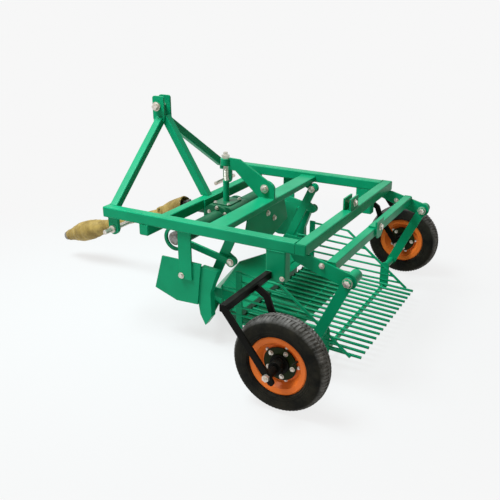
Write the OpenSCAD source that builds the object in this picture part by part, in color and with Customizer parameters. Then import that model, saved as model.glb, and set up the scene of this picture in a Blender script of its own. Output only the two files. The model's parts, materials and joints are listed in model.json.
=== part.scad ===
// Three-point potato digger with a shaking sieve, shaft driven, standing on two wheels and its share.
// X points to the machine's right, Y to the tractor, Z up. The floor is z = 0.
// Lengthwise places are measured from the middle of the main frame and shifted at the end,
// so that the origin lies on the floor under the middle of the whole machine.

/* [Main frame] */
// Width of the frame over its side beams
frame_w = 1080; // [1000:10:1160]
// Height of the frame's top face above the floor
frame_z = 595; // [580:5:620]
// Side of the square tube
tube = 50; // [46:1:54]
// Front end of the side beams
frame_front_y = 685; // [670:5:720]
// Rear face of the rear crossbeam
frame_rear_y = -355; // [-375:5:-340]
// Middle of the front crossbeam, which lies under the side beams
front_beam_y = 450; // [440:5:460]
// Middle of the flat middle crossbeam
mid_beam_y = 108; // [100:1:116]
// Width of the middle crossbeam, measured along the machine
mid_beam_w = 90; // [80:2:96]
// Height of the middle crossbeam
mid_beam_h = 30; // [24:1:34]
// How far the middle crossbeam's top lies under the side beams' top
mid_beam_drop = 17; // [12:1:18]
// Corner radius of the tubes
tube_r = 6; // [3:1:8]

/* [Mast and hitch] */
// Height of the mast's top
mast_top_z = 1035; // [1020:5:1060]
// Lengthwise middle of the mast's head
mast_y = 720; // [710:5:740]
// Side of the mast's square tube
mast_tube = 40; // [36:1:44]
// Thickness of the hitch and mast plates
plate_t = 10; // [8:1:12]
// Width of the slot between the mast plates
mast_gap = 44; // [40:1:50]
// Diameter of the top link pin
top_pin_d = 20; // [18:0.5:24]
// How far the top link pin lies under the mast's top
top_pin_drop = 50; // [44:1:60]
// Diameter of the lower link pins
low_pin_d = 22; // [20:0.5:26]
// Height of the lower link pins
low_pin_z = 488; // [480:1:494]
// Lengthwise place of the lower link pins
low_pin_y = 645; // [640:1:650]
// Length of the lower link pins outside their plates
low_pin_out = 62; // [56:1:70]
// Length of the lower link pins inside their plates
low_pin_in = 130; // [110:1:150]

/* [Wheels] */
// Diameter of the rims at the tyres' seat
seat_d = 203; // [198:1:208]
// Height of the tyres' sides, from the seat to the tread
tyre_h = 98.5; // [94:0.5:102]
// Height of the rims' flanges above the seat
flange_h = 20.5; // [18:0.5:22]
// Width of the tyres
tyre_w = 100; // [90:2:104]
// Distance from the frame's side to a wheel's middle plane
wheel_reach = 238; // [230:1:250]
// Lengthwise place of the axles
axle_y = -374; // [-384:2:-366]
// Diameter of the axle bolts
axle_d = 16; // [14:0.5:18]
// Side of the forks' square cross tube
fork_tube = 30; // [29:0.5:36]
// Width of the forks' flat legs
fork_bar_w = 28; // [24:0.5:28.5]
// Thickness of the forks' flat legs
fork_bar_t = 10; // [8:0.5:12]
// Lengthwise place of the forks' top tube
fork_y = -190; // [-200:2:-180]
// Height of the forks' top tube
fork_z = 437; // [430:1:445]
// Clear space between a fork leg and the tyre
fork_gap = 62; // [56:1:66]

/* [Shaking sieve] */
// Number of rods in the sieve's floor
rod_n = 17; // [15:1:19]
// Distance from a side beam's middle to the sieve's side guard
sieve_inset = 113; // [110:1:118]
// Diameter of the sieve's rods
rod_d = 13; // [11:0.5:14]
// Height of the rods' rear ends
rod_rear_z = 66; // [62:1:72]
// Rear end of the rods
rod_rear_y = -558; // [-570:2:-540]
// Front end of the rods
rod_front_y = 58; // [40:2:62]
// Rise of the sieve's floor towards the front, in degrees
sieve_rise = 2.3; // [1.8:0.1:2.6]
// Diameter of the side guards' rods
guard_d = 11; // [9:0.5:12]
// Number of rods in each side guard
guard_n = 6; // [5:1:6]
// Distance between the rods of a side guard
guard_pitch = 42; // [38:1:43]
// Lean of the hangers from the vertical, in degrees
hanger_lean = 24.7; // [22:0.1:26]
// Length of the hangers and rockers between their pivots
hanger_l = 332; // [325:1:340]
// Width of the hanger bars
hanger_w = 45; // [42:1:48]
// Lengthwise place of the hangers' top pivots
hanger_y = -532; // [-540:1:-526]
// Height of the hangers' top pivots
hanger_z = 468; // [464:1:474]
// Lengthwise place of the rockers' top pivots
rocker_y = 50; // [46:1:54]
// Height of the rockers' top pivots
rocker_z = 526; // [520:1:528]
// Diameter of the pivot pins of the sieve
pivot_d = 20; // [18:0.5:22]
// Thickness of the hanger and rocker bars
bar_t = 10; // [8:0.5:12]

/* [Drive] */
// Height of the gearbox's shafts
drive_z = 469; // [464:1:469]
// Lengthwise place of the gearbox's cross shaft
cross_y = 335; // [330:1:340]
// Diameter of the drive shafts
shaft_d = 36; // [32:1:38]
// Throw of the eccentrics
throw = 10; // [8:0.5:12]
// Diameter of the eccentrics
eccentric_d = 64; // [58:1:66]
// Droop of the drive shaft from the horizontal, in degrees
droop = 20; // [18:0.5:21]
// Lengthwise place of the gearbox-side universal joint
joint_y = 575; // [570:1:580]
// Length of the drive shaft from that joint to its tip
shaft_l = 975; // [950:5:1000]
// Diameter of the tractor coupling's bore
coupling_d = 34.9; // [34.5:0.1:35.5]

/* [Share and cheeks] */
// Lengthwise place of the share's tip
share_tip_y = 430; // [420:2:440]
// Thickness of the share
share_t = 8; // [6:1:10]
// Thickness of the cheek plates
cheek_t = 8; // [6:1:10]

/* [Hidden] */
$fn = 48;
fit = 0.3;
weld_in = 2;
// Bolt heads and nuts across their corners, and collars, as multiples of their bolt
hex_k = 1.8;
collar_k = 1.6;
paint = [0.05, 0.56, 0.35];
deep_paint = [0.03, 0.36, 0.23];
zinc = [0.80, 0.74, 0.68];
steel = [0.45, 0.45, 0.46];
black_paint = [0.06, 0.06, 0.06];
rubber = [0.10, 0.10, 0.10];
orange = [0.92, 0.42, 0.16];
khaki = [0.75, 0.62, 0.33];

beam_x = frame_w / 2 - tube / 2;
beam_in_x = frame_w / 2 - tube;
beam_low_z = frame_z - tube;
mid_beam_top_z = frame_z - mid_beam_drop;
mid_beam_low_z = mid_beam_top_z - mid_beam_h;
mid_beam_front_y = mid_beam_y + mid_beam_w / 2;
mid_beam_rear_y = mid_beam_y - mid_beam_w / 2;
wheel_x = frame_w / 2 + wheel_reach;
tyre_d = seat_d + 2 * tyre_h;
axle_z = tyre_d / 2;

// Both ends of a hanger or rocker lie this far apart along Y and Z
swing_dy = hanger_l * sin(hanger_lean);
swing_dz = hanger_l * cos(hanger_lean);
hanger_foot = [hanger_y + swing_dy, hanger_z - swing_dz];
rocker_foot = [rocker_y + swing_dy, rocker_z - swing_dz];

// Layers of the shaker's side, from the sieve outwards
guard_x = beam_x - sieve_inset;
rod_step_in = 6;
rod_pitch = 2 * (guard_x + rod_step_in) / rod_n;
rod_span = (rod_n - 1) * rod_pitch;
lug_t = 8;
lug_x = guard_x - lug_t / 2;
lug_gap = 18;
layer_gap = 6;
rocker_x = lug_x + lug_t + lug_gap;
conrod_x = rocker_x + bar_t + layer_gap;
conrod_t = 12;
bracket_x = conrod_x;
conrod_pin_back = 2;
conrod_pin_drop = 116;
conrod_pin = [rocker_y - conrod_pin_back, rocker_z - conrod_pin_drop];

// Rear pivots: the left hanger lies outside its arm, the right one inside
pivot_out = 8;
arm_t = 10;
outer_x = beam_x + pivot_out;
inner_x = outer_x - bar_t - layer_gap;
function hanger_at(side) = side < 0 ? outer_x : inner_x;
function arm_at(side) = side < 0 ? inner_x : outer_x;

// Drive shaft: the tip is the foremost point of the machine
tip_r = 26;
tip_l = 130;
coupling_l = 70;
y_max = joint_y + shaft_l * cos(droop) + tip_r * sin(droop);
y_min = axle_y - tyre_d / 2;
y_mid = (y_max + y_min) / 2;

// Shifts a piece from the frame's middle to the machine's origin
module placed() translate([0, -y_mid, 0]) children();

// Draws a right-hand piece on the right, side = 1, or mirrored on the left, side = -1
module on_side(side) placed() mirror([side < 0 ? 1 : 0, 0, 0]) children();

// Rectangle with true round corners, about its middle
module round_rect(w, h, r) {
    square([w - 2 * r, h], center = true);
    square([w, h - 2 * r], center = true);
    for (sx = [-1, 1], sy = [-1, 1])
        translate([sx * (w / 2 - r), sy * (h / 2 - r)]) circle(r);
}

// Tube along Y between two places
module tube_y(y0, y1, w, h, r) translate([0, y1, 0]) rotate([90, 0, 0])
    linear_extrude(y1 - y0) round_rect(w, h, r);

// Tube along X between two places
module tube_x(x0, x1, w, h, r) translate([x0, 0, 0]) rotate([90, 0, 90])
    linear_extrude(x1 - x0) round_rect(w, h, r);

// Square tube between two points
module strut(p, q, w, h, r) {
    v = q - p;
    translate(p) rotate([0, acos(v.z / norm(v)), atan2(v.y, v.x)])
        linear_extrude(norm(v)) round_rect(w, h, r);
}

// Round bar between two points
module rod(p, q, d) {
    v = q - p;
    translate(p) rotate([0, acos(v.z / norm(v)), atan2(v.y, v.x)]) cylinder(d = d, h = norm(v), $fn = 16);
}

// Plate from an outline in Y and Z, with its inner face at x
module side_plate(x, t) translate([x, 0, 0]) rotate([90, 0, 90]) linear_extrude(t) children();

// Pin along X
module pin_x(x0, x1, y, z, d) translate([x0, y, z]) rotate([0, 90, 0]) cylinder(d = d, h = x1 - x0);

// Bolt head or nut along X, six-sided, measured across its corners
module hex_x(x0, x1, y, z, d) translate([x0, y, z]) rotate([0, 90, 0]) cylinder(d = d, h = x1 - x0, $fn = 6);

// Outline of a flat bar with two round eyes
module link_outline(p, q, w) {
    v = q - p;
    translate(p) rotate(atan2(v.y, v.x)) {
        translate([0, -w / 2]) square([norm(v), w]);
        circle(d = w);
        translate([norm(v), 0]) circle(d = w);
    }
}

module side_beam(side) color(paint) on_side(side)
    translate([beam_x, 0, frame_z - tube / 2]) tube_y(frame_rear_y + tube, frame_front_y, tube, tube, tube_r);

module front_crossbeam() color(paint) placed()
    translate([0, front_beam_y, beam_low_z - tube / 2]) tube_x(-frame_w / 2, frame_w / 2, tube, tube, tube_r);

module mid_crossbeam() color(paint) placed()
    translate([0, mid_beam_y, mid_beam_top_z - mid_beam_h / 2])
        tube_x(-beam_in_x, beam_in_x, mid_beam_w, mid_beam_h, tube_r);

module rear_crossbeam() color(paint) placed()
    translate([0, frame_rear_y + tube / 2, frame_z - tube / 2])
        tube_x(-frame_w / 2, frame_w / 2, tube, tube, tube_r);

// Mast: a plate on each side of the slot, a leg to each side beam and a stay to the front crossbeam
plate_w = 70;
plate_l = 125;
plate_low_z = mast_top_z - plate_l;
top_pin_z = mast_top_z - top_pin_drop;
plate_out_x = mast_gap / 2 + plate_t;
leg_set = 25;
leg_sink = 20;
leg_rise = 22;
leg_lap = 18;
leg_foot = [beam_x - leg_set, frame_front_y - leg_set, frame_z - leg_sink];
leg_top = [0, mast_y, plate_low_z + leg_rise];
module mast_leg(side) color(paint) on_side(side) difference() {
    strut(leg_foot, leg_top + (leg_top - leg_foot) / 10, mast_tube, mast_tube, tube_r);
    translate([-frame_w, 0, 0]) cube([frame_w, 2 * mast_y, 2 * mast_top_z]);
    translate([-frame_w, 0, plate_low_z]) cube([frame_w + plate_out_x, 2 * mast_y, mast_top_z]);
    translate([beam_in_x, 0, 0]) cube([frame_w, 2 * mast_y, frame_z]);
    cube([frame_w, 2 * mast_y, frame_z - leg_lap]);
}

stay_back = 22;
stay_rise = 20;
stay_end_y = mast_y - mast_tube / 2 - 3;
module mast_stay() color(paint) placed() difference() {
    strut([0, front_beam_y, beam_low_z - leg_sink], [0, mast_y - stay_back, plate_low_z + stay_rise],
        mast_tube, mast_gap - 2 * fit, tube_r);
    translate([-frame_w / 2, 0, 0]) cube([frame_w, 2 * mast_y, beam_low_z]);
    translate([-frame_w / 2, stay_end_y, 0]) cube([frame_w, mast_y, 2 * mast_top_z]);
}

plate_r = 12;
module mast_plates() color(paint) placed() for (sx = [-1, 1])
    translate([sx < 0 ? -plate_out_x : mast_gap / 2, 0, 0]) difference() {
        side_plate(0, plate_t) translate([mast_y, (plate_low_z + mast_top_z) / 2])
            round_rect(plate_w, plate_l, plate_r);
        pin_x(-1, plate_t + 1, mast_y, top_pin_z, top_pin_d + fit);
    }

top_head_t = 12;
top_collar_t = 16;
top_pin_past = 34;
module top_link_pin() color(zinc) placed() {
    pin_x(-plate_out_x - top_pin_past, plate_out_x + fit, mast_y, top_pin_z, top_pin_d);
    hex_x(plate_out_x + fit, plate_out_x + top_head_t, mast_y, top_pin_z, top_pin_d * hex_k);
    pin_x(-plate_out_x - top_collar_t, -plate_out_x - fit, mast_y, top_pin_z, top_pin_d * collar_k);
}

// Lower hitch: a plate hangs under each side beam and holds an outward pin
hitch_t = 16;
hitch_w = 56;
module hitch_plate(side) color(paint) on_side(side) difference() {
    side_plate(beam_x - hitch_t / 2, hitch_t) {
        translate([low_pin_y - hitch_w / 2, low_pin_z]) square([hitch_w, beam_low_z - low_pin_z]);
        translate([low_pin_y, low_pin_z]) circle(d = hitch_w);
    }
    pin_x(beam_x - hitch_t, beam_x + hitch_t, low_pin_y, low_pin_z, low_pin_d + fit);
}

low_collar_t = 12;
low_nut_t = 16;
lynch_d = 10;
lynch_in = 14;
module lower_link_pin(side) color(zinc) on_side(side)
    let (x0 = beam_x - hitch_t / 2, x1 = beam_x + hitch_t / 2) difference() {
        union() {
            pin_x(x0 - low_pin_in, x1 + low_pin_out, low_pin_y, low_pin_z, low_pin_d);
            pin_x(x1 + fit, x1 + low_collar_t, low_pin_y, low_pin_z, low_pin_d * collar_k);
            hex_x(x0 - low_nut_t, x0 - fit, low_pin_y, low_pin_z, low_pin_d * hex_k);
        }
        translate([x1 + low_pin_out - lynch_in, low_pin_y, low_pin_z - low_pin_d])
            cylinder(d = lynch_d, h = 2 * low_pin_d);
    }

// Gearbox: a bevel box behind the front crossbeam, with a tube to each side for the cross shaft
box_l = 160;
box_w = 170;
box_h = 110;
box_r = 28;
flange_t = 16;
flange_past = 25;
box_front_y = cross_y + box_l / 2;
saddle_front_y = front_beam_y - tube / 2;
neck_d = 50;
neck_l = 95;
stub_in = 18;
drive_tube_d = 76;
drive_tube_x = rocker_x - layer_gap;
eccentric_x = conrod_x;
module gearbox_saddle() color(paint) placed() difference() {
    translate([-box_w / 2, box_front_y, drive_z - box_h / 2])
        cube([box_w, saddle_front_y - box_front_y, beam_low_z - drive_z + box_h / 2]);
    translate([0, box_front_y - 1, drive_z]) rotate([-90, 0, 0])
        cylinder(d = neck_d + 2 * fit, h = saddle_front_y - box_front_y + 2);
}

module gearbox() color(deep_paint) placed() difference() {
    union() {
        translate([0, cross_y, drive_z]) rotate([90, 0, 90])
            translate([0, 0, -box_w / 2]) linear_extrude(box_w) round_rect(box_l, box_h, box_r);
        translate([0, box_front_y - 1, drive_z]) rotate([-90, 0, 0]) cylinder(d = neck_d, h = neck_l);
        pin_x(-drive_tube_x, drive_tube_x, cross_y, drive_z, drive_tube_d);
        for (sx = [-1, 1]) translate([sx * (box_w + flange_t) / 2, 0, 0])
            pin_x(-flange_t / 2, flange_t / 2, cross_y, drive_z, drive_tube_d + 2 * flange_past);
    }
    pin_x(-drive_tube_x - 1, drive_tube_x + 1, cross_y, drive_z, shaft_d + 2 * fit);
    translate([0, box_front_y + stub_in, drive_z]) rotate([-90, 0, 0])
        cylinder(d = shaft_d + 2 * fit, h = neck_l);
}

// Cross shaft with an eccentric at each end
cross_past = 16;
cross_end_x = eccentric_x + conrod_t + cross_past;
module cross_shaft() color(steel) placed() {
    pin_x(-cross_end_x, cross_end_x, cross_y, drive_z, shaft_d);
    for (sx = [-1, 1]) mirror([sx < 0 ? 1 : 0, 0, 0])
        pin_x(eccentric_x, eccentric_x + conrod_t, cross_y + throw, drive_z, eccentric_d);
}

// Universal joint and drive shaft, turned about the joint by the droop
joint_arm = 44;
yoke_w = 58;
yoke_d = 26;
yoke_slot = 30;
yoke_base = 20;
yoke_past = 16;
cross_pin_d = 20;
side_pin_d = 16;
module along_shaft() placed() translate([0, joint_y, drive_z]) rotate([-90 - droop, 0, 0]) children();
module yoke() difference() {
    translate([-yoke_w / 2, -yoke_d / 2, -joint_arm]) cube([yoke_w, yoke_d, joint_arm + yoke_past]);
    translate([-yoke_slot / 2, -yoke_d, yoke_base - joint_arm]) cube([yoke_slot, 2 * yoke_d, joint_arm]);
}
module cross_pin(d) translate([-yoke_w / 2 - 2, 0, 0]) rotate([0, 90, 0]) cylinder(d = d, h = yoke_w + 4);
module input_yoke() color(steel) {
    placed() translate([0, joint_y, drive_z]) rotate([-90, 0, 0]) {
        yoke();
        translate([0, 0, box_front_y + stub_in + 2 - joint_y])
            cylinder(d = shaft_d, h = joint_y - box_front_y - stub_in - joint_arm + yoke_base / 2);
    }
    along_shaft() {
        cross_pin(cross_pin_d);
        rotate([0, 0, 90]) cross_pin(side_pin_d);
    }
}
module drive_shaft() color(steel) along_shaft() {
    difference() {
        rotate([180, 0, 90]) yoke();
        rotate([0, 0, 90]) translate([-yoke_w, 0, 0]) rotate([0, 90, 0])
            cylinder(d = side_pin_d + 2 * fit, h = 2 * yoke_w);
    }
    translate([0, 0, joint_arm - yoke_base / 2])
        cylinder(d = shaft_d, h = shaft_l - joint_arm + yoke_base / 2 - coupling_l - weld_in);
    difference() {
        translate([0, 0, shaft_l - tip_l]) cylinder(r = tip_r, h = tip_l);
        translate([0, 0, shaft_l - coupling_l]) cylinder(d = coupling_d, h = coupling_l + 1);
    }
}

// Guard: a cone over the joint, a tube, and a bell with a stepped neck at the tractor end
guard_wall = 4;
cone_near = 20;
cone_l = 165;
cone_d = 90;
cone_neck_d = 62;
sleeve_d = 54;
sleeve_near = 206;
bell_d = 112;
bell_neck_d = 76;
bell_tip_d = 66;
bell_back = [335, 307, 291, 185, 135, 103, 85, 20];
bell_s = [for (b = bell_back) shaft_l - b];
module shaft_guard() color(khaki) along_shaft() {
    difference() {
        rotate_extrude() polygon([
            [0, cone_l], [sleeve_d / 2, cone_l], [sleeve_d / 2, bell_s[0]], [bell_d * 0.43, bell_s[1]],
            [bell_d / 2, bell_s[2]], [bell_d / 2, bell_s[3]], [bell_d * 0.45, bell_s[4]],
            [bell_neck_d / 2, bell_s[5]], [bell_neck_d / 2, bell_s[6]], [bell_tip_d / 2, bell_s[6]],
            [bell_tip_d / 2, bell_s[7]], [0, bell_s[7]]
        ]);
        translate([0, 0, -1]) cylinder(d = shaft_d + 2 * fit, h = shaft_l);
        translate([0, 0, shaft_l - tip_l - fit]) cylinder(r = tip_r + fit, h = tip_l);
    }
    rotate_extrude() polygon([
        [cone_d / 2, cone_near], [cone_neck_d / 2, cone_l], [cone_neck_d / 2, sleeve_near],
        [shaft_d / 2 + fit, sleeve_near], [shaft_d / 2 + fit, cone_l - guard_wall],
        [cone_neck_d / 2 - guard_wall, cone_l - guard_wall], [cone_d / 2 - guard_wall, cone_near]
    ]);
}

// Gearbox stay: an upright plate on the middle crossbeam, with an eye for a screw to a post on the gearbox
stay_t = 10;
stay_low = [283, 695];
stay_head = [318, 757];
stay_back_z = 60;
stay_bevel = 12;
stay_shelf = 60;
screw_d = 22;
screw_past = 26;
screw_in = 60;
eye_d = 52;
eye_h = 34;
post_d = 32;
post_y = stay_head.x + eye_d / 2 - 3;
post_top_z = 637;
stay_outline = [
    [mid_beam_rear_y, mid_beam_top_z], [mid_beam_front_y, mid_beam_top_z], stay_low,
    [stay_head.x, stay_low.y], stay_head, [stay_head.x - stay_shelf, stay_head.y - 2],
    [mid_beam_rear_y + stay_bevel, mid_beam_top_z + stay_back_z + stay_bevel],
    [mid_beam_rear_y, mid_beam_top_z + stay_back_z]
];
module stay_plate() color(paint) placed() difference() {
    union() {
        side_plate(-stay_t / 2, stay_t) polygon(stay_outline);
        translate([0, post_y, stay_head.y - eye_h - 6]) cylinder(d = eye_d, h = eye_h);
    }
    translate([0, post_y, stay_low.y]) cylinder(d = screw_d + 2 * fit, h = stay_head.y);
}

screw_nut_t = 18;
module stay_screw() color(zinc) placed() translate([0, post_y, 0]) {
    translate([0, 0, post_top_z - screw_in])
        cylinder(d = screw_d, h = stay_head.y + screw_past + screw_in - post_top_z);
    translate([0, 0, stay_head.y - 6 + fit]) cylinder(d = screw_d * hex_k, h = screw_nut_t, $fn = 6);
}

module stay_post() color(paint) placed() translate([0, post_y, 0]) difference() {
    translate([0, 0, drive_z + box_h / 2]) cylinder(d = post_d, h = post_top_z - drive_z - box_h / 2);
    translate([0, 0, post_top_z - screw_in - fit]) cylinder(d = screw_d + 2 * fit, h = 2 * screw_in);
}

// Cheek plates hang from the side beams by a flat shank on their outer face, and carry the share's legs
cheek_x = beam_x - cheek_t / 2;
shank_y0 = 206;
shank_y1 = 274;
cheek_top_z = 402;
cheek_outline = [
    [184, 200], [300, 195], [420, 236], [372, cheek_top_z], [160, cheek_top_z], [176, 270]
];
shank_low_z = 316;
shank_t = 8;
cheek_bolt = [262, 331];
cheek_bolt_d = 14;
module cheek(side) color(paint) on_side(side) difference() {
    union() {
        side_plate(cheek_x, cheek_t) polygon(cheek_outline);
        side_plate(cheek_x + cheek_t, shank_t)
            translate([shank_y0, shank_low_z]) square([shank_y1 - shank_y0, beam_low_z - shank_low_z]);
    }
    pin_x(cheek_x - 1, cheek_x + cheek_t + shank_t + 1, cheek_bolt.x, cheek_bolt.y, cheek_bolt_d + fit);
}

// Share legs: a folded arm inside each cheek plate, down to the share's wing
leg_w = 34;
leg_x = cheek_x - leg_w;
leg_outline = [[196, 273], [168, 384], [80, 378], [118, 270], [116, 150], [150, 100], [176, 150]];
module share_leg(side) color(paint) on_side(side) side_plate(leg_x, leg_w) polygon(leg_outline);

// Share: two wings that meet in a tip, and an apron that falls from their crest to the sieve
share_tip = [0, share_tip_y, 0];
bead_d = 10;
wing_end = [leg_x - bead_d / 2, 150, 112];
crest_mid = [0, share_tip_y - 168, 200];
crest_end = [guard_x - 26, share_tip_y - 243, 165];
apron_mid = [0, 105, 120];
apron_end = [guard_x - 26, 105, 123];
module bead(p) translate(p) cylinder(d = bead_d, h = share_t, $fn = 12);
module share() color(paint) placed() for (sx = [-1, 1]) mirror([sx < 0 ? 1 : 0, 0, 0]) {
    hull() {
        bead(share_tip);
        bead(wing_end);
        bead(crest_mid);
        bead(crest_end);
    }
    hull() {
        bead(crest_mid);
        bead(crest_end);
        bead(apron_mid);
        bead(apron_end);
    }
}

// Deflector sheet under the middle crossbeam, wider at its foot
deflector_top_w = 366;
deflector_low_w = 540;
deflector_t = 6;
deflector_low_z = 300;
module deflector_sheet() color(paint) placed()
    translate([0, mid_beam_y + deflector_t / 2, 0]) rotate([90, 0, 0]) linear_extrude(deflector_t) polygon([
        [-deflector_top_w / 2, mid_beam_low_z], [deflector_top_w / 2, mid_beam_low_z],
        [deflector_low_w / 2, deflector_low_z], [-deflector_low_w / 2, deflector_low_z]
    ]);

// Rocker brackets under the middle crossbeam, each with the pivot pin of its rocker
bracket_eye_d = 52;
bracket_arm = 20;
bracket_set = 12;
module rocker_bracket(side) color(paint) on_side(side) {
    side_plate(bracket_x, conrod_t) {
        translate([rocker_y, rocker_z]) circle(d = bracket_eye_d);
        polygon([
            [rocker_y - bracket_arm, rocker_z + 10], [rocker_y + bracket_arm, rocker_z - 16],
            [mid_beam_front_y - bracket_set, mid_beam_low_z], [mid_beam_rear_y + 4, mid_beam_low_z]
        ]);
    }
    pin_x(rocker_x - bracket_set, bracket_x + 1, rocker_y, rocker_z, pivot_d);
    pin_x(rocker_x - bracket_set, rocker_x - fit, rocker_y, rocker_z, pivot_d * collar_k);
}

// Rockers hold the sieve's front and take the push of the connecting rods
push_web = [rocker_y + 40, rocker_z - 90];
push_w = 44;
conrod_pin_past = 8;
module rocker(side) color(paint) on_side(side) {
    difference() {
        side_plate(rocker_x, bar_t) {
            link_outline([rocker_y, rocker_z], rocker_foot, hanger_w);
            link_outline(conrod_pin, push_web, push_w);
        }
        pin_x(rocker_x - 1, rocker_x + bar_t + 1, rocker_y, rocker_z, pivot_d + 2 * fit);
        pin_x(rocker_x - 1, rocker_x + bar_t + 1, rocker_foot.x, rocker_foot.y, pivot_d + 2 * fit);
    }
    pin_x(rocker_x + bar_t - 1, conrod_x + conrod_t + conrod_pin_past, conrod_pin.x, conrod_pin.y, pivot_d);
}

// Connecting rods: an eye on the rocker's pin and a strap round the eccentric
strap_gap = 13;
strap_in_d = eccentric_d + 2 * strap_gap;
strap_w = 14;
strap_out_d = strap_in_d + 2 * strap_w;
conrod_eye_d = 46;
conrod_w = 30;
conrod_drop = 6;
module conrod(side) color(paint) on_side(side) difference() {
    side_plate(conrod_x, conrod_t) {
        translate(conrod_pin) circle(d = conrod_eye_d);
        translate([cross_y + throw, drive_z]) circle(d = strap_out_d);
        link_outline(conrod_pin, [cross_y + throw - strap_in_d / 2, drive_z - conrod_drop], conrod_w);
    }
    pin_x(conrod_x - 1, conrod_x + conrod_t + 1, conrod_pin.x, conrod_pin.y, pivot_d + 2 * fit);
    pin_x(conrod_x - 1, conrod_x + conrod_t + 1, cross_y + throw, drive_z, strap_in_d);
}

// Sieve: floor rods on crossbars, a guard of rods at each side, and lugs with the pivot pins
function floor_z(y) = rod_rear_z + (y - rod_rear_y) * tan(sieve_rise);
crossbar_h = 24;
crossbar_t = 10;
crossbar_ys = [rod_front_y - 12, -150, -393];
guard_front_y = rod_front_y - 20;
guard_rear_y = -515;
guard_top_z = floor_z(guard_front_y) + guard_n * guard_pitch;
guard_top_rear_y = -176;
function guard_edge_y(z) = guard_rear_y
    + (guard_top_rear_y - guard_rear_y) * (z - rod_rear_z) / (guard_top_z - guard_sag - rod_rear_z);
crossbar_in = rod_d / 2 + crossbar_h - weld_in;
module sieve_floor() color(paint) placed() {
    for (i = [0 : rod_n - 1]) let (x = -rod_span / 2 + i * rod_pitch)
        rod([x, rod_rear_y, floor_z(rod_rear_y)], [x, rod_front_y, floor_z(rod_front_y)], rod_d);
    for (y = crossbar_ys) translate([-lug_x, y - crossbar_t / 2, floor_z(y) - crossbar_in])
        cube([2 * lug_x, crossbar_t, crossbar_h]);
}

lug_w = 46;
front_lug_w = 30;
guard_sag = 12;
foot_pin_past = 4;
module sieve_guard(side) color(paint) on_side(side) {
    for (k = [0 : guard_n])
        let (z = floor_z(guard_front_y) + k * guard_pitch, sag = k == 0 ? 0 : guard_sag)
        rod([guard_x, max(guard_edge_y(z - sag), guard_rear_y), z - sag], [guard_x, guard_front_y, z],
            guard_d);
    rod([guard_x, guard_rear_y, rod_rear_z], [guard_x, guard_top_rear_y, guard_top_z - guard_sag], rod_d);
    side_plate(lug_x, lug_t) {
        translate([guard_front_y - 20, floor_z(guard_front_y) - crossbar_in])
            square([front_lug_w, guard_top_z - floor_z(guard_front_y) + rod_d + crossbar_h]);
        link_outline([guard_front_y, rocker_foot.y - 10], rocker_foot, lug_w);
        link_outline([hanger_foot.x, floor_z(hanger_foot.x) - 8], hanger_foot, lug_w);
    }
    pin_x(lug_x + 1, rocker_x + bar_t + foot_pin_past, rocker_foot.x, rocker_foot.y, pivot_d);
    pin_x(lug_x + lug_t - 1, rocker_x - fit, rocker_foot.x, rocker_foot.y, pivot_d * collar_k);
    pin_x(lug_x + 1, hanger_at(side) + bar_t + foot_pin_past, hanger_foot.x, hanger_foot.y, pivot_d);
    pin_x(lug_x + lug_t - 1, hanger_at(side) - fit, hanger_foot.x, hanger_foot.y, pivot_d * collar_k);
}

// Hangers hold the sieve's rear
module hanger(side) color(paint) on_side(side) let (x = hanger_at(side)) difference() {
    side_plate(x, bar_t) link_outline([hanger_y, hanger_z], hanger_foot, hanger_w);
    pin_x(x - 1, x + bar_t + 1, hanger_y, hanger_z, pivot_d + 2 * fit);
    pin_x(x - 1, x + bar_t + 1, hanger_foot.x, hanger_foot.y, pivot_d + 2 * fit);
}

// Rear arms under the frame's rear corners, each with a boss and the pivot pin of its hanger
post_l = 90;
post_back = 30;
post_gap = 6;
post_rear_y = fork_y - post_back - post_l / 2;
arm_eye_d = 64;
boss_d = 50;
boss_in = 72;
boss_out = 42;
pin_past = 14;
arm_outline = [
    [post_rear_y - post_gap, beam_low_z], [frame_rear_y - 6, beam_low_z], [hanger_y - 8, hanger_z + 31],
    [hanger_y + 12, hanger_z - 29.5], [frame_rear_y - 20, hanger_z + 12], [post_rear_y - 30, beam_low_z - 35]
];
module rear_arm(side) color(paint) on_side(side) let (x = arm_at(side), far = hanger_at(side)) {
    side_plate(x, arm_t) {
        translate([hanger_y, hanger_z]) circle(d = arm_eye_d);
        polygon(arm_outline);
    }
    if (side < 0) {
        pin_x(x - boss_in, x + 1, hanger_y, hanger_z, boss_d);
        pin_x(x, far + bar_t + pin_past, hanger_y, hanger_z, pivot_d);
        hex_x(far + bar_t + fit, far + bar_t + pin_past - 2, hanger_y, hanger_z, pivot_d * hex_k);
    } else {
        pin_x(x + arm_t - 1, x + arm_t + boss_out, hanger_y, hanger_z, boss_d);
        pin_x(far - pin_past, x + 1, hanger_y, hanger_z, pivot_d);
        hex_x(far - pin_past + 2, far - fit, hanger_y, hanger_z, pivot_d * hex_k);
    }
}

crossbar_y = -450;
crossbar_z = 512;
crossbar_w = 40;
module arm_crossbar() color(paint) placed()
    translate([0, crossbar_y, crossbar_z]) tube_x(-arm_at(-1), arm_at(1), crossbar_w, crossbar_w, 4);

// Clevis on the rear crossbeam, and a plate on the bar between the arms
clamp_w = 92;
clamp_t = 8;
clamp_h = 54;
clamp_set = 6;
clamp_bolt_d = 16;
module beam_clamp() color(paint) placed() translate([0, frame_rear_y, frame_z]) difference() {
    for (y = [clamp_set, tube - clamp_set - clamp_t])
        translate([-clamp_w / 2, y, 0]) cube([clamp_w, clamp_t, clamp_h]);
    translate([0, -1, clamp_h / 2]) rotate([-90, 0, 0]) cylinder(d = clamp_bolt_d + fit, h = tube + 2);
}

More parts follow.
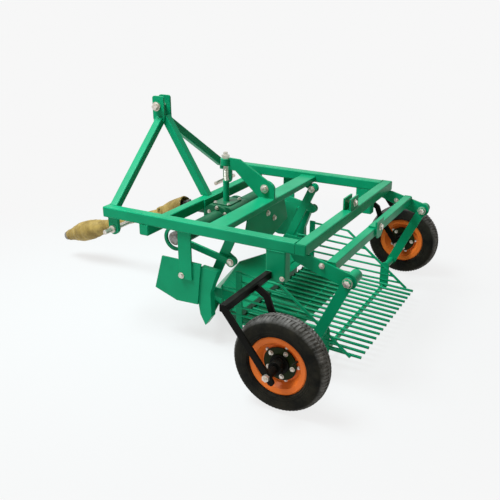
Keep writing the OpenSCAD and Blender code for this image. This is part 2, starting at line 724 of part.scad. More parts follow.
plate_drop = 84;
plate_clip = 26;
plate_rise = 22;
clamp_top_z = crossbar_z + crossbar_w / 2 + clamp_t;
clamp_rear_y = crossbar_y - crossbar_w / 2 - clamp_t;
module crossbar_clamp() color(paint) placed() {
    translate([0, clamp_rear_y + clamp_t, clamp_top_z + plate_rise - plate_drop]) rotate([90, 0, 0])
        linear_extrude(clamp_t) polygon([
            [plate_clip - clamp_w / 2, 0], [clamp_w / 2 - plate_clip, 0], [clamp_w / 2, plate_clip],
            [clamp_w / 2, plate_drop], [-clamp_w / 2, plate_drop], [-clamp_w / 2, plate_clip]
        ]);
    translate([-clamp_w / 2, clamp_rear_y, clamp_top_z - clamp_t]) cube([clamp_w, crossbar_w, clamp_t]);
}

// Fork posts under the side beams
post_past = 11;
post_low_z = fork_z - fork_tube / 2 - post_past;
module fork_post(side) color(paint) on_side(side)
    translate([beam_x, fork_y - post_back, post_low_z]) linear_extrude(beam_low_z - post_low_z)
        round_rect(tube, post_l, tube_r);

// Forks: a cross tube from the post and two flat legs with bushes for the axle. The outer leg is straight,
// the inner one runs back over the sieve's side before it turns down
fork_in_x = wheel_x - tyre_w / 2 - fork_gap - fork_bar_t;
fork_out_x = wheel_x + tyre_w / 2 + fork_gap;
fork_past = 24;
fork_r = 4;
bush_d = 34;
wheel_play = 6;
hub_l = 118;
bush_l = tyre_w / 2 + fork_gap - hub_l / 2 - wheel_play;
fork_top = [fork_y, fork_z];
fork_way = [axle_y, axle_z] - fork_top;
fork_end = fork_top + fork_way * (1 + fork_past / norm(fork_way));
inner_bends = [[-56, -35], [-80, -100]];
module fork_leg(x, path) side_plate(x, fork_bar_t) for (i = [1 : len(path) - 1])
    link_outline(path[i - 1], path[i], fork_bar_w);
module fork(side) color(black_paint) on_side(side) difference() {
    union() {
        translate([0, fork_y, fork_z])
            tube_x(beam_x + tube / 2, fork_out_x + fork_bar_t, fork_tube, fork_tube, fork_r);
        fork_leg(fork_out_x, [fork_top, fork_end]);
        fork_leg(fork_in_x, [fork_top, for (b = inner_bends) fork_top + b, fork_end]);
        pin_x(fork_out_x - bush_l, fork_out_x + 1, axle_y, axle_z, bush_d);
        pin_x(fork_in_x + fork_bar_t - 1, fork_in_x + fork_bar_t + bush_l, axle_y, axle_z, bush_d);
    }
    pin_x(fork_in_x - 1, fork_out_x + fork_bar_t + 1, axle_y, axle_z, axle_d + fit);
}

axle_past = 18;
axle_nut_t = 14;
module axle(side) color(zinc) on_side(side) let (x0 = fork_in_x, x1 = fork_out_x + fork_bar_t) {
    pin_x(x0 - axle_past, x1 + axle_past, axle_y, axle_z, axle_d);
    hex_x(x0 - axle_nut_t, x0 - fit, axle_y, axle_z, axle_d * hex_k);
    hex_x(x1 + fit, x1 + axle_nut_t, axle_y, axle_z, axle_d * hex_k);
}

// Wheel pieces turn about the axle, with their profiles drawn as radius and width
module about_axle(side) on_side(side) translate([wheel_x, axle_y, axle_z]) rotate([0, 90, 0]) children();

hub_d = 56;
hub_step_d = 80;
dish_w = 35.5;
hub_disc_d = seat_d - 2 * dish_w;
web_t = 4;
disc_t = 8;
step_t = 10;
module hub(side) color(black_paint) about_axle(side) difference() {
    union() {
        translate([0, 0, -hub_l / 2]) cylinder(d = hub_d, h = hub_l);
        for (sz = [-1, 1]) mirror([0, 0, sz < 0 ? 1 : 0]) {
            translate([0, 0, web_t]) cylinder(d = hub_disc_d, h = disc_t);
            translate([0, 0, web_t + disc_t - 1]) cylinder(d = hub_step_d, h = step_t + 1);
        }
    }
    translate([0, 0, -hub_l]) cylinder(d = axle_d + 2 * fit, h = 2 * hub_l);
}

// Split rim: two deep dished halves with flanges outside and a seat for the tyre
seat_r = seat_d / 2;
flange_r = seat_r + flange_h;
rim_set = 12;
rim_w = tyre_w - 2 * rim_set;
rim_wall = 4;
bead_w = 8;
web_past = 13;
dish_deep = 12;
dish_lip = 4;
module rim(side) color(orange) about_axle(side) rotate_extrude() for (sz = [-1, 1])
    mirror([0, sz < 0 ? 1 : 0]) polygon([
        [hub_d / 2 + fit, 0], [hub_d / 2 + fit, web_t], [hub_disc_d / 2 + web_past, web_t],
        [seat_r - 2 * rim_wall, rim_w / 2 - dish_deep], [seat_r - rim_wall, rim_w / 2 - dish_lip],
        [flange_r - rim_wall - 1, rim_w / 2], [flange_r, rim_w / 2 - 2],
        [flange_r - rim_wall, rim_w / 2 - bead_w + 2], [seat_r, rim_w / 2 - bead_w], [seat_r, 0]
    ]);

// Tyre section, a union of round rectangles: how deep each one's middle lies under the tread and its height,
// as shares of the side's height, then its width and corner radius, as shares of the tyre's width
tyre_rects = [[0.53, 1.04, 0.86, 0.34], [0.405, 0.81, 0.9, 0.3], [0.63, 0.61, 1, 0.24]];
module tyre(side) color(rubber) about_axle(side) rotate_extrude() difference() {
    union() for (r = tyre_rects) translate([tyre_d / 2 - tyre_h * r[0], 0])
        round_rect(tyre_h * r[1], tyre_w * r[2], tyre_w * r[3]);
    translate([0, -tyre_w]) square([seat_r + fit, 2 * tyre_w]);
    for (sz = [-1, 1]) mirror([0, sz < 0 ? 1 : 0])
        translate([0, rim_w / 2 - bead_w - fit]) square([flange_r + fit, tyre_w]);
}

side_beam(-1);  // side_beam_left
side_beam(1);  // side_beam_right
front_crossbeam();
mid_crossbeam();
rear_crossbeam();
mast_leg(-1);  // mast_leg_left
mast_leg(1);  // mast_leg_right
mast_stay();
mast_plates();
top_link_pin();
hitch_plate(-1);  // hitch_plate_left
hitch_plate(1);  // hitch_plate_right
lower_link_pin(-1);  // lower_link_pin_left
lower_link_pin(1);  // lower_link_pin_right
gearbox_saddle();
gearbox();
cross_shaft();
input_yoke();
drive_shaft();
shaft_guard();
stay_plate();
stay_screw();
stay_post();
cheek(-1);  // cheek_left
cheek(1);  // cheek_right
share_leg(-1);  // share_leg_left
share_leg(1);  // share_leg_right
share();
deflector_sheet();
rocker_bracket(-1);  // rocker_bracket_left
rocker_bracket(1);  // rocker_bracket_right
rocker(-1);  // rocker_left
rocker(1);  // rocker_right
conrod(-1);  // conrod_left
conrod(1);  // conrod_right
sieve_floor();
sieve_guard(-1);  // sieve_guard_left
sieve_guard(1);  // sieve_guard_right
hanger(-1);  // hanger_left
hanger(1);  // hanger_right
rear_arm(-1);  // rear_arm_left
rear_arm(1);  // rear_arm_right
arm_crossbar();
beam_clamp();
crossbar_clamp();
fork_post(-1);  // fork_post_left
fork_post(1);  // fork_post_right
fork(-1);  // fork_left
fork(1);  // fork_right
axle(-1);  // axle_left
axle(1);  // axle_right
hub(-1);  // hub_left
hub(1);  // hub_right
rim(-1);  // rim_left
rim(1);  // rim_right
tyre(-1);  // tyre_left
tyre(1);  // tyre_right
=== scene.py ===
"""Looks of a tractor-mounted potato digger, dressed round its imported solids."""
import json
import math

import bmesh
import bpy
from mathutils import Matrix, Vector


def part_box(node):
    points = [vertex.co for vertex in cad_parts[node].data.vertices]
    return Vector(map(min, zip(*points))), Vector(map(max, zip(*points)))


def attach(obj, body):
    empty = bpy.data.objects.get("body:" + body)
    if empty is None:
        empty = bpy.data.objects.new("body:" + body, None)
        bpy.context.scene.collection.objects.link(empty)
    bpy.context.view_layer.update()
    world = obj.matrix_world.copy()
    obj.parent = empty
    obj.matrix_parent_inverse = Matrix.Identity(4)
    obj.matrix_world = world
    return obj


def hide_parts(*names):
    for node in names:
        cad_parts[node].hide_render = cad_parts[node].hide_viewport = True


MM = 0.001
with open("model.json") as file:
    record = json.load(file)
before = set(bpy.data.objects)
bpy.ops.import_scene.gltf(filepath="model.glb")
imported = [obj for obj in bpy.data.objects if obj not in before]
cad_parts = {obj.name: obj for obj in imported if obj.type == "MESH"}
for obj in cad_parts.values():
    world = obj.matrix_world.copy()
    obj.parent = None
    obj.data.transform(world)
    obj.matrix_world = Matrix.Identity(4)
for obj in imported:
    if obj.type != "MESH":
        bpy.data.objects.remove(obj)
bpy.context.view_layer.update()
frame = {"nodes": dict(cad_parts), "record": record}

# Camera: place and angles of the photograph's view
CAMERA_PLACE = Vector((-2.709, -1.791, 1.5075))
CAMERA_YAW = math.radians(29.47)
CAMERA_PITCH = math.radians(21.46)
CAMERA_ROLL = math.radians(-0.18)
FOCAL_PIXELS = 647.1
FRAME_PIXELS = 500
SENSOR_MM = 36

# Directions, and the two sides of the machine
X_AXIS = Vector((1, 0, 0))
FRONT = Vector((0, 1, 0))
UP = Vector((0, 0, 1))
SIDES = {"left": -1, "right": 1}

# Places below are in millimetres from the drawing's zero, which lies this far behind the scene's origin
ZERO_BEHIND = 463.046

# Wheels: axle line and the wheels' middle planes
AXLE_Y = -374
AXLE_Z = 200
WHEEL_X = 778


def at(x, y, z):
    """Point of the scene from a place in the drawing's millimetres."""
    return Vector((x, y - ZERO_BEHIND, z)) * MM


def aim(direction):
    """Turns a shape that was made along Z to point along a direction."""
    return UP.rotation_difference(Vector(direction)).to_matrix().to_4x4()


# Shader node groups


def group(name, inputs, outputs):
    """New shader node group with its named sockets, and its input and output nodes."""
    tree = bpy.data.node_groups.new(name, "ShaderNodeTree")
    for socket, kind, value in inputs:
        made = tree.interface.new_socket(socket, in_out="INPUT", socket_type=kind)
        made.default_value = value
    for socket, kind in outputs:
        tree.interface.new_socket(socket, in_out="OUTPUT", socket_type=kind)
    return tree, tree.nodes.new("NodeGroupInput"), tree.nodes.new("NodeGroupOutput")


def noise(tree, place, scale, detail, roughness):
    """Noise texture on given coordinates."""
    node = tree.nodes.new("ShaderNodeTexNoise")
    node.inputs["Scale"].default_value = scale
    node.inputs["Detail"].default_value = detail
    node.inputs["Roughness"].default_value = roughness
    tree.links.new(place, node.inputs["Vector"])
    return node.outputs["Fac"]


def ramp(tree, value, low, high, to_low=0.0, to_high=1.0):
    """Maps a value from one range to another and clamps it."""
    node = tree.nodes.new("ShaderNodeMapRange")
    for socket, number in (("From Min", low), ("From Max", high), ("To Min", to_low), ("To Max", to_high)):
        node.inputs[socket].default_value = number
    tree.links.new(value, node.inputs["Value"])
    return node.outputs["Result"]


def blend_colours(tree, factor, first, second):
    """Mix of two colours, each a socket or a plain colour."""
    node = tree.nodes.new("ShaderNodeMix")
    node.data_type = "RGBA"
    tree.links.new(factor, node.inputs["Factor"])
    for socket, colour in ((node.inputs["A"], first), (node.inputs["B"], second)):
        if isinstance(colour, bpy.types.NodeSocket):
            tree.links.new(colour, socket)
        else:
            socket.default_value = (*colour, 1)
    return node.outputs["Result"]


def reckon(tree, operation, first, second):
    """Arithmetic on two sockets or numbers."""
    node = tree.nodes.new("ShaderNodeMath")
    node.operation = operation
    for socket, value in zip(node.inputs, (first, second)):
        if isinstance(value, bpy.types.NodeSocket):
            tree.links.new(value, socket)
        else:
            socket.default_value = value
    return node.outputs["Value"]


def object_place(tree):
    """Coordinates fixed to the object."""
    return tree.nodes.new("ShaderNodeTexCoord").outputs["Object"]


# Paint: dust's colour and how much it dulls the paint, and dark specks' colour and share
DUST_COLOUR = (0.45, 0.41, 0.33)
DUST_DULLS = 0.5
SPECK_COLOUR = (0.02, 0.05, 0.03)
SPECK_SHARE = 0.10


def enamel_group():
    """Sprayed paint: slow drifts of tone, fine orange peel and dust that settles on upward faces."""
    tree, given, result = group(
        "enamel",
        (("Paint", "NodeSocketColor", (0, 0, 0, 1)), ("Deep", "NodeSocketColor", (0, 0, 0, 1)),
         ("Dust", "NodeSocketFloat", 0.1)),
        (("Color", "NodeSocketColor"), ("Roughness", "NodeSocketFloat"), ("Height", "NodeSocketFloat")))
    place = object_place(tree)
    drift = ramp(tree, noise(tree, place, scale=5.0, detail=4, roughness=0.55), 0.35, 0.70)
    tone = blend_colours(tree, drift, given.outputs["Paint"], given.outputs["Deep"])
    specks = ramp(tree, noise(tree, place, scale=160.0, detail=3, roughness=0.6), 0.62, 0.74)
    facing = tree.nodes.new("ShaderNodeSeparateXYZ")
    tree.links.new(tree.nodes.new("ShaderNodeNewGeometry").outputs["Normal"], facing.inputs["Vector"])
    upward = ramp(tree, facing.outputs["Z"], 0.3, 1.0)
    cloud = ramp(tree, noise(tree, place, scale=14.0, detail=5, roughness=0.65), 0.42, 0.75)
    settled = reckon(tree, "MULTIPLY", reckon(tree, "MULTIPLY", upward, cloud), given.outputs["Dust"])
    dusty = blend_colours(tree, settled, tone, DUST_COLOUR)
    speckled = blend_colours(tree, reckon(tree, "MULTIPLY", specks, SPECK_SHARE), dusty, SPECK_COLOUR)
    tree.links.new(speckled, result.inputs["Color"])
    sheen = ramp(tree, drift, 0, 1, to_low=0.30, to_high=0.40)
    dulled = reckon(tree, "ADD", sheen, reckon(tree, "MULTIPLY", settled, DUST_DULLS))
    tree.links.new(dulled, result.inputs["Roughness"])
    tree.links.new(noise(tree, place, scale=420.0, detail=2, roughness=0.5), result.inputs["Height"])
    return tree


def edge_group():
    """Softened edges: the rounded normal, and a broken mask where it differs from the flat face's."""
    tree, given, result = group(
        "soft_edge",
        (("Radius", "NodeSocketFloat", 0.003), ("Breakup", "NodeSocketFloat", 60.0)),
        (("Mask", "NodeSocketFloat"), ("Normal", "NodeSocketVector")))
    rounded = tree.nodes.new("ShaderNodeBevel")
    rounded.samples = 6
    tree.links.new(given.outputs["Radius"], rounded.inputs["Radius"])
    flat = tree.nodes.new("ShaderNodeNewGeometry")
    same = tree.nodes.new("ShaderNodeVectorMath")
    same.operation = "DOT_PRODUCT"
    tree.links.new(rounded.outputs["Normal"], same.inputs[0])
    tree.links.new(flat.outputs["Normal"], same.inputs[1])
    edge = ramp(tree, same.outputs["Value"], 0.97, 0.80)
    grain = tree.nodes.new("ShaderNodeTexNoise")
    tree.links.new(object_place(tree), grain.inputs["Vector"])
    tree.links.new(given.outputs["Breakup"], grain.inputs["Scale"])
    broken = ramp(tree, grain.outputs["Fac"], 0.50, 0.66)
    tree.links.new(reckon(tree, "MULTIPLY", edge, broken), result.inputs["Mask"])
    tree.links.new(rounded.outputs["Normal"], result.inputs["Normal"])
    return tree


ENAMEL = enamel_group()
SOFT_EDGE = edge_group()


# Materials


def bare_material(name):
    """Material with its Principled shader."""
    made = bpy.data.materials.new(name)
    made.use_nodes = True
    return made, made.node_tree, made.node_tree.nodes["Principled BSDF"]


def use_group(tree, which, **values):
    """Places a node group with its own values."""
    node = tree.nodes.new("ShaderNodeGroup")
    node.node_tree = which
    for name, value in values.items():
        node.inputs[name].default_value = (*value, 1) if isinstance(value, tuple) else value
    return node


def raise_surface(tree, shader, height, strength, distance, normal=None):
    """Bump from a height, over an optional normal."""
    bump = tree.nodes.new("ShaderNodeBump")
    bump.inputs["Strength"].default_value = strength
    bump.inputs["Distance"].default_value = distance
    tree.links.new(height, bump.inputs["Height"])
    if normal is not None:
        tree.links.new(normal, bump.inputs["Normal"])
    tree.links.new(bump.outputs["Normal"], shader.inputs["Normal"])


# How much of the colour below shows where an edge is chipped
CHIP_SHARE = 0.22


def paint_material(name, colour, deep, dust, chip, gloss, edge_radius):
    """Enamel with soft edges, chipped a little down to another colour."""
    made, tree, shader = bare_material(name)
    enamel = use_group(tree, ENAMEL, Paint=colour, Deep=deep, Dust=dust)
    edges = use_group(tree, SOFT_EDGE, Radius=edge_radius)
    chipped = reckon(tree, "MULTIPLY", edges.outputs["Mask"], CHIP_SHARE)
    tree.links.new(blend_colours(tree, chipped, enamel.outputs["Color"], chip), shader.inputs["Base Color"])
    tree.links.new(enamel.outputs["Roughness"], shader.inputs["Roughness"])
    shader.inputs["Specular IOR Level"].default_value = gloss
    raise_surface(tree, shader, enamel.outputs["Height"], strength=0.08, distance=0.0006,
                  normal=edges.outputs["Normal"])
    return made


def plated_material(name, colour, tarnish, roughness, metallic):
    """Plated or bare steel with tarnish clouds and fine scratches."""
    made, tree, shader = bare_material(name)
    place = object_place(tree)
    clouds = ramp(tree, noise(tree, place, scale=55.0, detail=5, roughness=0.65), 0.40, 0.70)
    tree.links.new(blend_colours(tree, clouds, colour, tarnish), shader.inputs["Base Color"])
    scratches = noise(tree, place, scale=240.0, detail=4, roughness=0.6)
    tree.links.new(ramp(tree, scratches, 0.3, 0.7, roughness - 0.10, roughness + 0.12),
                   shader.inputs["Roughness"])
    shader.inputs["Metallic"].default_value = metallic
    grain = noise(tree, place, scale=600.0, detail=2, roughness=0.5)
    raise_surface(tree, shader, grain, strength=0.12, distance=0.0004)
    return made


# Guard's plastic: clean, stained and scuffed
KHAKI_CLEAN = (0.42, 0.27, 0.078)
KHAKI_STAIN = (0.19, 0.115, 0.028)
KHAKI_SCUFF = (0.11, 0.08, 0.03)
SCUFF_SHARE = 0.40


def guard_material():
    """Moulded khaki plastic of the shaft guard, a little stained and scuffed."""
    made, tree, shader = bare_material("guard_plastic")
    place = object_place(tree)
    stain = ramp(tree, noise(tree, place, scale=18.0, detail=6, roughness=0.68), 0.38, 0.68)
    tone = blend_colours(tree, stain, KHAKI_CLEAN, KHAKI_STAIN)
    scuff = ramp(tree, noise(tree, place, scale=90.0, detail=4, roughness=0.7), 0.60, 0.72)
    scuffed = blend_colours(tree, reckon(tree, "MULTIPLY", scuff, SCUFF_SHARE), tone, KHAKI_SCUFF)
    tree.links.new(scuffed, shader.inputs["Base Color"])
    tree.links.new(ramp(tree, stain, 0, 1, to_low=0.40, to_high=0.58), shader.inputs["Roughness"])
    shader.inputs["Specular IOR Level"].default_value = 0.2
    grain = noise(tree, place, scale=300.0, detail=3, roughness=0.6)
    raise_surface(tree, shader, grain, strength=0.10, distance=0.0008)
    return made


# Rubber: black, its brown clouds, the tread's dry bloom and dust
RUBBER_BLACK = (0.006, 0.006, 0.005)
RUBBER_BROWN = (0.026, 0.022, 0.015)
RUBBER_BLOOM = (0.215, 0.190, 0.178)
RUBBER_DUST = (0.035, 0.032, 0.026)
RUBBER_DUST_SHARE = 0.15
# Radii between which the bloom comes in, and the little of it that the sides have
BLOOM_FROM = 180
BLOOM_FULL = 194
SIDE_BLOOM = 0.03


def tread_mask(tree):
    """One on the tread and little on the sides, by the distance from the axle line that both tyres share."""
    place = object_place(tree)
    axle = at(0, AXLE_Y, AXLE_Z)
    parts = tree.nodes.new("ShaderNodeSeparateXYZ")
    tree.links.new(place, parts.inputs["Vector"])
    back = reckon(tree, "SUBTRACT", parts.outputs["Y"], axle.y)
    high = reckon(tree, "SUBTRACT", parts.outputs["Z"], axle.z)
    square = reckon(tree, "ADD", reckon(tree, "MULTIPLY", back, back), reckon(tree, "MULTIPLY", high, high))
    return ramp(tree, reckon(tree, "SQRT", square, 0), BLOOM_FROM * MM, BLOOM_FULL * MM, SIDE_BLOOM, 1.0)


def rubber_material():
    """Dull black rubber with a dry grey bloom on the tread and fine dust."""
    made, tree, shader = bare_material("tyre_rubber")
    place = object_place(tree)
    bloom = ramp(tree, noise(tree, place, scale=26.0, detail=6, roughness=0.70), 0.30, 0.66)
    worn = reckon(tree, "MULTIPLY", bloom, tread_mask(tree))
    cloud = ramp(tree, noise(tree, place, scale=12.0, detail=5, roughness=0.65), 0.40, 0.70)
    black = blend_colours(tree, cloud, RUBBER_BLACK, RUBBER_BROWN)
    tone = blend_colours(tree, worn, black, RUBBER_BLOOM)
    fine = ramp(tree, noise(tree, place, scale=190.0, detail=3, roughness=0.6), 0.55, 0.75)
    dusty = blend_colours(tree, reckon(tree, "MULTIPLY", fine, RUBBER_DUST_SHARE), tone, RUBBER_DUST)
    tree.links.new(dusty, shader.inputs["Base Color"])
    tree.links.new(ramp(tree, bloom, 0, 1, to_low=0.58, to_high=0.85), shader.inputs["Roughness"])
    shader.inputs["Specular IOR Level"].default_value = 0.05
    grain = noise(tree, place, scale=380.0, detail=4, roughness=0.65)
    raise_surface(tree, shader, grain, strength=0.35, distance=0.0008)
    return made


GREEN = paint_material("green_enamel", colour=(0.003, 0.300, 0.134), deep=(0.002, 0.236, 0.102), dust=0.015,
                       chip=(0.02, 0.15, 0.09), gloss=0.10, edge_radius=0.0025)
# Deep green of the gearbox; the sieve bed also wears it, as painted shade between the rods
DEEP_GREEN = paint_material("gearbox_enamel_and_painted_shade", colour=(0.006, 0.120, 0.050), deep=(0.004, 0.080, 0.034),
                            dust=0.10, chip=(0.02, 0.06, 0.04), gloss=0.15, edge_radius=0.003)
ORANGE = paint_material("orange_enamel", colour=(0.950, 0.200, 0.028), deep=(0.820, 0.150, 0.020), dust=0.05,
                        chip=(0.32, 0.06, 0.02), gloss=0.15, edge_radius=0.002)
BLACK = paint_material("black_enamel", colour=(0.004, 0.004, 0.003), deep=(0.007, 0.006, 0.005), dust=0.04,
                       chip=(0.05, 0.045, 0.04), gloss=0.06, edge_radius=0.0025)
OLIVE = paint_material("olive_enamel", colour=(0.018, 0.027, 0.006), deep=(0.012, 0.019, 0.004), dust=0.03,
                       chip=(0.06, 0.06, 0.04), gloss=0.08, edge_radius=0.002)
ZINC = plated_material("zinc_plate", colour=(0.74, 0.69, 0.63), tarnish=(0.44, 0.35, 0.27), roughness=0.36,
                       metallic=0.85)
STEEL = plated_material("bare_steel", colour=(0.30, 0.29, 0.28), tarnish=(0.12, 0.09, 0.07), roughness=0.42,
                        metallic=0.9)
KHAKI = guard_material()
RUBBER = rubber_material()
FINISHES = {"green_paint": GREEN, "gearbox_paint": DEEP_GREEN, "zinc": ZINC, "steel": STEEL,
            "guard_plastic": KHAKI, "black_paint": BLACK, "orange_paint": ORANGE, "tyre": RUBBER}


def finish_solids():
    """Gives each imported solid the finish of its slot."""
    for subpart in frame["record"]["subparts"]:
        solid = frame["nodes"][subpart["node"]]
        for place in solid.material_slots:
            place.material = FINISHES[subpart["material_slot"]]


# New pieces, with their sizes in millimetres

MERGE_DISTANCE = 1e-6
# Steps round a large turned shape and round a small one
LARGE_STEPS = 64
SMALL_STEPS = 16
# Rounding of a rod's ends as a share of its radius
ROD_SOFT = 0.3
# Bolt heads: the washer's height and the edges' rounding as shares of the head's height, and the washer's
# radius as a share of the size across flats
WASHER_HEIGHT = 0.28
HEAD_SOFT = 0.09
WASHER_RADIUS = 0.78
WASHER_STEPS = 20
# Bolt ends: where along them the chamfer starts, and its end's radius as a share of the size across
CHAMFER_FROM = 0.8
CHAMFER_END = 0.36


def add_piece(name, mesh, slot, body, smooth_angle=35, finish=None):
    """Turns a bmesh into a finished piece that rides on a body, in its slot's finish or one of its own."""
    bmesh.ops.remove_doubles(mesh, verts=mesh.verts, dist=MERGE_DISTANCE)
    bmesh.ops.recalc_face_normals(mesh, faces=mesh.faces)
    data = bpy.data.meshes.new(name)
    mesh.to_mesh(data)
    mesh.free()
    data.materials.append(finish or FINISHES[slot])
    made = bpy.data.objects.new(name, data)
    bpy.context.scene.collection.objects.link(made)
    data.polygons.foreach_set("use_smooth", [True] * len(data.polygons))
    data.set_sharp_from_angle(angle=math.radians(smooth_angle))
    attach(made, body)
    return made


def grown_part(grown, kind):
    """The first face or edge that an extrusion made."""
    return next(item for item in grown["geom"] if isinstance(item, kind))


def edges_of(verts):
    """Edges at some corners, each once and in a fixed order."""
    return list(dict.fromkeys(edge for vert in verts for edge in vert.link_edges))


def soften(mesh, edges, offset, segments):
    """Rounds edges off."""
    return bmesh.ops.bevel(mesh, geom=edges, offset=offset, offset_type="OFFSET", segments=segments,
                           profile=0.5, affect="EDGES", material=-1, clamp_overlap=True)


def revolve(mesh, outline, centre, axis, steps):
    """Spins an outline of (radius, way along the axis): a ring, or a full body if it starts on the axis."""
    out = axis.orthogonal().normalized()
    line = [mesh.verts.new(centre + axis * (way * MM) + out * (radius * MM)) for radius, way in outline]
    edges = [mesh.edges.new(pair) for pair in zip(line, line[1:])]
    if outline[0][0] > 0:
        edges.append(mesh.edges.new((line[-1], line[0])))
    bmesh.ops.spin(mesh, geom=line + edges, cent=centre, axis=axis, dvec=(0, 0, 0), angle=2 * math.pi,
                   steps=steps, use_merge=True, use_duplicate=False)


def plain_rod(mesh, start, end, radius):
    """Round rod with softened ends."""
    run = end - start
    length = run.length / MM
    soft = radius * ROD_SOFT
    outline = [(0, 0), (radius - soft, 0), (radius, soft), (radius, length - soft), (radius - soft, length),
               (0, length)]
    revolve(mesh, outline, start, run.normalized(), SMALL_STEPS)


def hex_head(mesh, place, along, across, height):
    """Six-sided bolt head with softened edges on a round washer, standing on a place."""
    stand = Matrix.Translation(place) @ aim(along)
    across, height = across * MM, height * MM
    washer = height * WASHER_HEIGHT
    rim = across * WASHER_RADIUS
    bmesh.ops.create_cone(mesh, cap_ends=True, segments=WASHER_STEPS, radius1=rim, radius2=rim, depth=washer,
                          matrix=stand @ Matrix.Translation((0, 0, washer / 2)))
    corner = across / 2 / math.cos(math.pi / 6)
    middle = Matrix.Translation((0, 0, washer + height / 2))
    head = bmesh.ops.create_cone(mesh, cap_ends=True, segments=6, radius1=corner, radius2=corner,
                                 depth=height, matrix=stand @ middle)
    soften(mesh, edges_of(head["verts"]), height * HEAD_SOFT, segments=2)


def bolt_end(mesh, place, along, across, length):
    """Threaded end that stands out of a nut, with a chamfer."""
    outline = [(0, 0), (across / 2, 0), (across / 2, length * CHAMFER_FROM), (across * CHAMFER_END, length),
               (0, length)]
    revolve(mesh, outline, place, along, SMALL_STEPS)


def soft_plate(mesh, place, along, size, corner):
    """Flat plate with rounded corners, lying on a face."""
    plate = bmesh.ops.create_cube(mesh, size=1)["verts"]
    bmesh.ops.scale(mesh, verts=plate, vec=[length * MM for length in size])
    upright = [edge for edge in edges_of(plate)
               if abs(edge.verts[0].co.z - edge.verts[1].co.z) > MERGE_DISTANCE]
    rounded = soften(mesh, upright, corner * MM, segments=4)["faces"]
    faces = {near for face in rounded for edge in face.edges for near in edge.link_faces}
    shape = list({vert for face in faces for vert in face.verts})
    stand = Matrix.Translation(place) @ aim(along) @ Matrix.Translation((0, 0, size[2] * MM / 2))
    bmesh.ops.transform(mesh, verts=shape, matrix=stand)


def bent_sheet(mesh, half, course, thick):
    """Plate across the machine, bent along a course of (place, height), with its thickness below."""
    edge = mesh.edges.new([mesh.verts.new(at(x, *course[0])) for x in (-half, half)])
    faces = []
    for (y, z), (next_y, next_z) in zip(course, course[1:]):
        grown = bmesh.ops.extrude_edge_only(mesh, edges=[edge])
        edge = grown_part(grown, bmesh.types.BMEdge)
        faces.append(grown_part(grown, bmesh.types.BMFace))
        bmesh.ops.translate(mesh, verts=list(edge.verts), vec=Vector((0, next_y - y, next_z - z)) * MM)
    bmesh.ops.recalc_face_normals(mesh, faces=faces)
    if faces[0].normal.z < 0:
        bmesh.ops.reverse_faces(mesh, faces=faces)
    bmesh.ops.solidify(mesh, geom=faces, thickness=thick * MM)


# Wheels

TYRE_STEPS = 128
TREAD_DEPTH = 4
# Crown: how far it turns to each side, in how many steps, and the powers that square its round outline
CROWN_TURN = 94
CROWN_STEPS = 20
CROWN_WIDE = 0.72
CROWN_HIGH = 0.62
BULGE_RADIUS = 150
# The carcass stays this far inside the solid's width
WALL_INSET = 0.5
# Side of the tyre from its widest place to the bead, with raised rings, as (radius, distance from the middle)
FLANK = ((148, 49), (147, 50), (145, 50), (144, 49), (139, 49), (138, 49.8), (136.5, 49.8), (135.5, 48.8),
         (133, 48), (131.5, 49), (129.5, 48.6), (128.5, 46.4), (124.2, 41), (122.9, 37), (122.7, 30.6),
         (103, 29.5))
# Centre rib: half widths at its root and near its top, how deep it is rooted and how much its top is crowned
RIB_ROOT = 6
RIB_TOP = 5
RIB_SUNK = 6
RIB_CROWN = 0.8
# A tread bar: its section, the way it runs out over the shoulder as (offset, drop), and how far it slants
BAR_COUNT = 80
BAR_SECTION = ((-4.2, -9), (-3.4, -0.6), (-2.4, 0), (2.4, 0), (3.4, -0.6), (4.2, -9))
BAR_COURSE = ((7, 0.6), (18, 2.2), (28, 5.2), (36, 10), (42, 15.5), (45, 21))
BAR_SLANT = 0.16
# Valve stem: outline as (radius, length), and its place on the rim and lean to the axle
VALVE_STEM = ((0, 0), (3.2, 0), (4.2, 2), (4.2, 20), (2.8, 23), (2.8, 30), (1.8, 31), (0, 31))
VALVE_RADIUS = 92
VALVE_OUT = 27
VALVE_TURN = 1.1
VALVE_LEAN = 0.45
# Plate on a hub's disc as (radius, distance from the wheel's middle plane)
HUB_PLATE = ((40, 12), (69.5, 12), (70, 12.5), (70, 13.5), (69.2, 14.3), (40, 14.3))


def squared(value, power):
    """Power of a value's size, with its sign kept."""
    return math.copysign(abs(value) ** power, value)


def tyre_outline(outer, half_width):
    """Closed outline of the tyre's section: crown, sides with raised rings, and beads in the rim."""
    crown = []
    for step in range(CROWN_STEPS + 1):
        turn = math.radians(CROWN_TURN * (2 * step / CROWN_STEPS - 1))
        high = BULGE_RADIUS + squared(math.cos(turn), CROWN_HIGH) * (outer - BULGE_RADIUS)
        crown.append((high, squared(math.sin(turn), CROWN_WIDE) * half_width))
    return crown + list(FLANK) + [(radius, -wide) for radius, wide in reversed(FLANK)]


